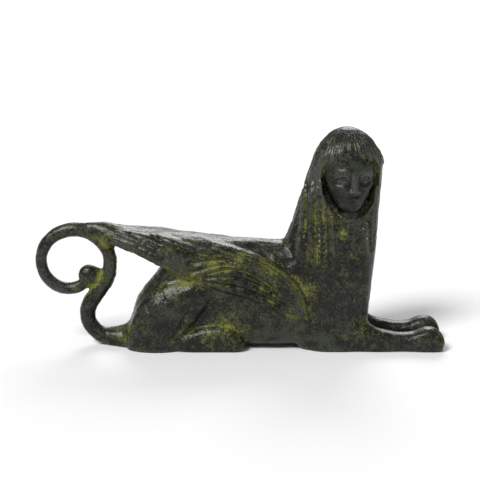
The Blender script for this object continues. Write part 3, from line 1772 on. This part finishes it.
@dataclass(frozen=True)
class AgedBronze:
    """Dark bronze with a satin skin and yellow-green verdigris in its hollows."""

    name: str = "aged_bronze"
    dark: Colour = (0.009, 0.009, 0.007, 1.0)
    warm: Colour = (0.030, 0.026, 0.023, 1.0)
    olive: Colour = (0.040, 0.045, 0.012, 1.0)
    grey_green: Colour = (0.036, 0.044, 0.032, 1.0)
    verdigris: Colour = (0.15, 0.155, 0.024, 1.0)
    shade: Colour = (0.004, 0.004, 0.003, 1.0)
    rubbed: Colour = (0.075, 0.075, 0.070, 1.0)
    satin: float = 0.30
    chalky: float = 0.8
    specular: float = 0.35
    speck_scale: float = 1250.0
    mottle_scale: float = 330.0
    blotch_scale: float = 75.0
    lump_bump: tuple[float, float] = (0.6, 0.0005)
    pit_bump: tuple[float, float] = (0.45, 0.0003)

    def build(self) -> bpy.types.Material:
        """Makes the material.

        Returns:
            The finished material.
        """
        material = bpy.data.materials.new(self.name)
        material.use_nodes = True
        tree = material.node_tree
        tree.nodes.clear()
        out = tree.nodes.new("ShaderNodeOutputMaterial")
        skin = tree.nodes.new("ShaderNodeBsdfPrincipled")
        tree.links.new(skin.outputs["BSDF"], out.inputs["Surface"])
        place = tree.nodes.new("ShaderNodeTexCoord").outputs["Object"]

        speck = self._noise(tree, place, scale=self.speck_scale, detail=3.0, rough=0.65)
        mottle = self._noise(tree, place, scale=self.mottle_scale, detail=4.0, rough=0.6)
        blotch = self._noise(tree, place, scale=self.blotch_scale, detail=4.0, rough=0.6)
        green, hollow = self._attribute(tree, "green"), self._attribute(tree, "hollow")
        proud = self._attribute(tree, "proud")
        grain = self._sum(tree, self._scaled(tree, speck, 0.6, 0.0), self._scaled(tree, mottle, 0.4, 0.0))

        base = self._mix(tree, self._grade(tree, grain, 0.44, 0.62), self.dark, self.warm)
        clouded = self._sum(tree, blotch, self._scaled(tree, grain, 0.5, -0.25))
        base = self._mix(tree, self._grade(tree, clouded, 0.46, 0.66), base, self.grey_green)
        base = self._mix(tree, self._grade(tree, hollow, 0.06, 0.45), base, self.shade)
        worn = self._grade(tree, self._sum(tree, proud, self._scaled(tree, grain, 1.4, -0.7)), 0.15, 0.6)
        base = self._mix(tree, self._scaled(tree, worn, 0.7, 0.0), base, self.rubbed)
        speckled = self._sum(tree, green, self._scaled(tree, grain, 3.4, -1.7))
        film = self._grade(tree, speckled, 0.1, 0.5)
        base = self._mix(tree, film, base, self.olive)
        crust = self._grade(tree, speckled, 0.45, 1.0)
        base = self._mix(tree, crust, base, self.verdigris)
        tree.links.new(base, skin.inputs["Base Color"])

        rough = self._scaled(tree, speck, 0.35, self.satin - 0.17)
        rough = self._sum(tree, rough, self._scaled(tree, crust, self.chalky - self.satin, 0.0))
        tree.links.new(rough, skin.inputs["Roughness"])
        tree.links.new(self._scaled(tree, film, -0.3, 0.3), skin.inputs["Metallic"])
        tree.links.new(self._bump(tree, speck, mottle), skin.inputs["Normal"])
        skin.inputs["Specular IOR Level"].default_value = self.specular
        return material

    @staticmethod
    def _noise(tree: Tree, place: Socket, scale: float, detail: float, rough: float) -> Socket:
        """Adds a noise texture.

        Args:
            tree: The node tree.
            place: Socket with the place on the skin, in metres.
            scale: Lumps in a metre.
            detail: Octaves.
            rough: Strength of the finer octaves.

        Returns:
            The noise's factor socket.
        """
        node = tree.nodes.new("ShaderNodeTexNoise")
        node.inputs["Scale"].default_value = scale
        node.inputs["Detail"].default_value = detail
        node.inputs["Roughness"].default_value = rough
        tree.links.new(place, node.inputs["Vector"])
        return node.outputs["Fac"]

    @staticmethod
    def _attribute(tree: Tree, name: str) -> Socket:
        """Reads a value that is stored on the skin.

        Args:
            tree: The node tree.
            name: The value's name.

        Returns:
            The value's socket.
        """
        node = tree.nodes.new("ShaderNodeAttribute")
        node.attribute_name = name
        return node.outputs["Fac"]

    @staticmethod
    def _grade(tree: Tree, value: Socket, start: float, end: float) -> Socket:
        """Turns a value into a share that rises smoothly from start to end.

        Args:
            tree: The node tree.
            value: Socket with the value.
            start: Where the share is 0.
            end: Where the share is 1.

        Returns:
            The share's socket.
        """
        node = tree.nodes.new("ShaderNodeMapRange")
        node.interpolation_type = "SMOOTHSTEP"
        node.inputs["From Min"].default_value = start
        node.inputs["From Max"].default_value = end
        tree.links.new(value, node.inputs["Value"])
        return node.outputs["Result"]

    @staticmethod
    def _scaled(tree: Tree, value: Socket, factor: float, offset: float) -> Socket:
        """Multiplies a value and adds to it.

        Args:
            tree: The node tree.
            value: Socket with the value.
            factor: What it is multiplied by.
            offset: What is added.

        Returns:
            The result's socket.
        """
        node = tree.nodes.new("ShaderNodeMath")
        node.operation = "MULTIPLY_ADD"
        tree.links.new(value, node.inputs[0])
        node.inputs[1].default_value = factor
        node.inputs[2].default_value = offset
        return node.outputs[0]

    @staticmethod
    def _sum(tree: Tree, a: Socket, b: Socket) -> Socket:
        """Adds two values.

        Args:
            tree: The node tree.
            a: The first socket.
            b: The second socket.

        Returns:
            The sum's socket.
        """
        node = tree.nodes.new("ShaderNodeMath")
        node.operation = "ADD"
        tree.links.new(a, node.inputs[0])
        tree.links.new(b, node.inputs[1])
        return node.outputs[0]

    @staticmethod
    def _mix(tree: Tree, share: Socket, under: Socket | Colour, over: Colour) -> Socket:
        """Lays one colour over another.

        Args:
            tree: The node tree.
            share: Socket with how much the upper one covers.
            under: The lower colour, or its socket.
            over: The upper colour.

        Returns:
            The mixed colour's socket.
        """
        node = tree.nodes.new("ShaderNodeMix")
        node.data_type = "RGBA"
        tree.links.new(share, node.inputs["Factor"])
        if isinstance(under, tuple):
            node.inputs["A"].default_value = under
        else:
            tree.links.new(under, node.inputs["A"])
        node.inputs["B"].default_value = over
        return node.outputs["Result"]

    def _bump(self, tree: Tree, speck: Socket, mottle: Socket) -> Socket:
        """Makes the fine pits and lumps of the cast skin.

        Args:
            tree: The node tree.
            speck: Socket with the fine noise.
            mottle: Socket with the coarser noise.

        Returns:
            The bumped normal's socket.
        """
        normal = None
        for height, (strength, distance) in ((mottle, self.lump_bump), (speck, self.pit_bump)):
            node = tree.nodes.new("ShaderNodeBump")
            node.inputs["Strength"].default_value = strength
            node.inputs["Distance"].default_value = distance
            tree.links.new(height, node.inputs["Height"])
            if normal is not None:
                tree.links.new(normal, node.inputs["Normal"])
            normal = node.outputs["Normal"]
        return normal


# ---- The casting ---------------------------------------------------------------------------


@dataclass
class Casting:
    """The bronze sphinx: the wax, skinned, weathered and finished."""

    wax: Wax = field(default_factory=Wax)
    weathering: Weathering = field(default_factory=Weathering)
    finish: AgedBronze = field(default_factory=AgedBronze)
    cell: float = 0.34
    quick_cell: float = 0.5
    triangles: int = 190_000
    paw_end: float = 82.2
    midline: float = 0.4

    def build(self) -> bpy.types.Object:
        """Makes the casting in its place on the frame.

        Returns:
            The casting's object.
        """
        low, high = (np.array(corner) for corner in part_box(NODE))
        cell = self.cell
        net = SurfaceNet((-84, -17, -2), (85, 17, 91), cell)
        points, squares = net.skin(net.sample(self.wax.distance))
        LOG.info("skinned the wax with %d squares of %.2f mm", len(squares), cell)
        points = relaxed(points, squares, 0.6)
        points = self.wax.worked(points, skin_normals(points, squares))
        placed = self._placed(points, low, high)
        piece = self._object(placed, squares)
        self._lighten(piece)
        self._weather(piece, high)
        piece.data.materials.append(self.finish.build())
        return piece

    def _placed(self, points: Array, low: Array, high: Array) -> Array:
        """Moves points from the wax to the frame, and keeps them inside the frame's box.

        Args:
            points: Points of the wax, in millimetres.
            low: Lowest corner of the frame's box.
            high: Highest corner of the frame's box.

        Returns:
            Points in metres.
        """
        return np.clip(points * MM + self._shift(high), low, high)

    def _shift(self, high: Array) -> Array:
        """How far the frame's origin is from the wax's.

        Args:
            high: Highest corner of the frame's box.

        Returns:
            The shift in metres.
        """
        return np.array([high[0] - self.paw_end * MM, self.midline * MM, 0.0])

    @staticmethod
    def _object(points: Array, squares: Array) -> bpy.types.Object:
        """Makes a mesh object from a net.

        Args:
            points: The net's points.
            squares: Its squares.

        Returns:
            The object.
        """
        mesh = bpy.data.meshes.new("sphinx_casting")
        mesh.vertices.add(len(points))
        mesh.vertices.foreach_set("co", points.astype(np.float32).ravel())
        mesh.loops.add(squares.size)
        mesh.loops.foreach_set("vertex_index", squares.astype(np.int32).ravel())
        mesh.polygons.add(len(squares))
        mesh.polygons.foreach_set("loop_start", np.arange(0, squares.size, 4, dtype=np.int32))
        mesh.update(calc_edges=True)
        mesh.validate()
        piece = bpy.data.objects.new("sphinx_casting", mesh)
        bpy.context.scene.collection.objects.link(piece)
        return piece

    def _lighten(self, piece: bpy.types.Object) -> None:
        """Brings the mesh down to its number of triangles, keeping them where the form turns.

        Args:
            piece: The casting.
        """
        now = 2 * len(piece.data.polygons)
        if now > self.triangles:
            modifier = piece.modifiers.new("lighten", "DECIMATE")
            modifier.ratio = self.triangles / now
            graph = bpy.context.evaluated_depsgraph_get()
            lighter = bpy.data.meshes.new_from_object(piece.evaluated_get(graph))
            piece.modifiers.clear()
            piece.data = lighter
        mesh = piece.data
        mesh.polygons.foreach_set("use_smooth", np.ones(len(mesh.polygons), dtype=bool))
        mesh.update()

    def _weather(self, piece: bpy.types.Object, high: Array) -> None:
        """Stores on the skin how green each spot is.

        Args:
            piece: The casting.
            high: Highest corner of the frame's box.
        """
        mesh = piece.data
        count = len(mesh.vertices)
        points = np.empty(count * 3, dtype=np.float32)
        normals = np.empty(count * 3, dtype=np.float32)
        mesh.vertices.foreach_get("co", points)
        mesh.vertices.foreach_get("normal", normals)
        points = (points.reshape(-1, 3) - self._shift(high)) / MM
        normals = normals.reshape(-1, 3).astype(float)
        hollow = self.weathering.hollow(self.wax, points, normals)
        proud = self.weathering.proud(self.wax, points, normals)
        green = self.weathering.green(points, hollow)
        for name, values in (("hollow", hollow), ("proud", proud), ("green", green)):
            layer = mesh.attributes.new(name, "FLOAT", "POINT")
            layer.data.foreach_set("value", values.astype(np.float32))


# ---- The studio ------------------------------------------------------------------------------


@dataclass(frozen=True)
class SoftLight:
    """A broad far lamp: its direction, how wide it looks in degrees, and its strength."""

    name: str
    towards: tuple[float, float, float]
    width: float
    strength: float

    def build(self) -> None:
        """Hangs the lamp."""
        data = bpy.data.lights.new(self.name, "SUN")
        data.angle = math.radians(self.width)
        data.energy = self.strength
        lamp = bpy.data.objects.new(self.name, data)
        lamp.rotation_euler = (-Vector(self.towards)).to_track_quat("-Z", "Y").to_euler()
        bpy.context.scene.collection.objects.link(lamp)


@dataclass
class Studio:
    """The pale floor, the soft light and the camera."""

    distance: float = 0.6
    elevation: float = math.radians(13.0)
    lens: float = 113.0
    look_height: float = 0.0431
    floor_size: float = 40.0
    floor_colour: Colour = (0.82, 0.82, 0.82, 1.0)
    lights: tuple[SoftLight, ...] = (
        SoftLight("key", (-0.5, -0.62, 0.85), 20.0, 3.0),
        SoftLight("top", (0.15, 1.2, 0.8), 30.0, 1.3),
    )
    room_light: float = 0.32

    def build(self) -> None:
        """Sets up everything round the statue."""
        target = Vector((0.0, 0.0, self.look_height))
        self._floor()
        self._world()
        for light in self.lights:
            light.build()
        self._camera(target)
        settings = bpy.context.scene.view_settings
        settings.view_transform = "Standard"

    def _floor(self) -> None:
        """Lays the floor under the statue."""
        half = self.floor_size / 2
        mesh = bpy.data.meshes.new("floor")
        corners = [(-half, -half, 0), (half, -half, 0), (half, half, 0), (-half, half, 0)]
        mesh.from_pydata(corners, [], [(0, 1, 2, 3)])
        floor = bpy.data.objects.new("floor", mesh)
        bpy.context.scene.collection.objects.link(floor)
        material = bpy.data.materials.new("pale_floor")
        material.use_nodes = True
        skin = material.node_tree.nodes["Principled BSDF"]
        skin.inputs["Base Color"].default_value = self.floor_colour
        skin.inputs["Roughness"].default_value = 0.9
        mesh.materials.append(material)

    def _world(self) -> None:
        """Fills the room with even pale light."""
        world = bpy.data.worlds.new("room")
        world.use_nodes = True
        back = world.node_tree.nodes["Background"]
        back.inputs["Color"].default_value = (1.0, 1.0, 1.0, 1.0)
        back.inputs["Strength"].default_value = self.room_light
        bpy.context.scene.world = world

    def _camera(self, target: Vector) -> None:
        """Sets the camera in front of the statue's near side.

        Args:
            target: What it looks at.
        """
        data = bpy.data.cameras.new("camera")
        data.lens = self.lens
        data.clip_start = 0.01
        camera = bpy.data.objects.new("camera", data)
        offset = Vector((0.0, -math.cos(self.elevation), math.sin(self.elevation)))
        camera.location = target + offset * self.distance
        camera.rotation_euler = (-offset).to_track_quat("-Z", "Y").to_euler()
        bpy.context.scene.collection.objects.link(camera)
        bpy.context.scene.camera = camera


def main() -> None:
    """Loads the frame, sets up the studio, and makes the casting in its place."""
    logging.basicConfig(level=logging.INFO, format="%(name)s: %(message)s")
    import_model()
    Studio().build()
    LOG.info("studio: floor, lights and camera are up")
    casting = Casting().build()
    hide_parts(NODE)
    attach(casting, BODY)
    LOG.info("%s: %d faces", casting.name, len(casting.data.polygons))


if __name__ == "__main__":
    main()
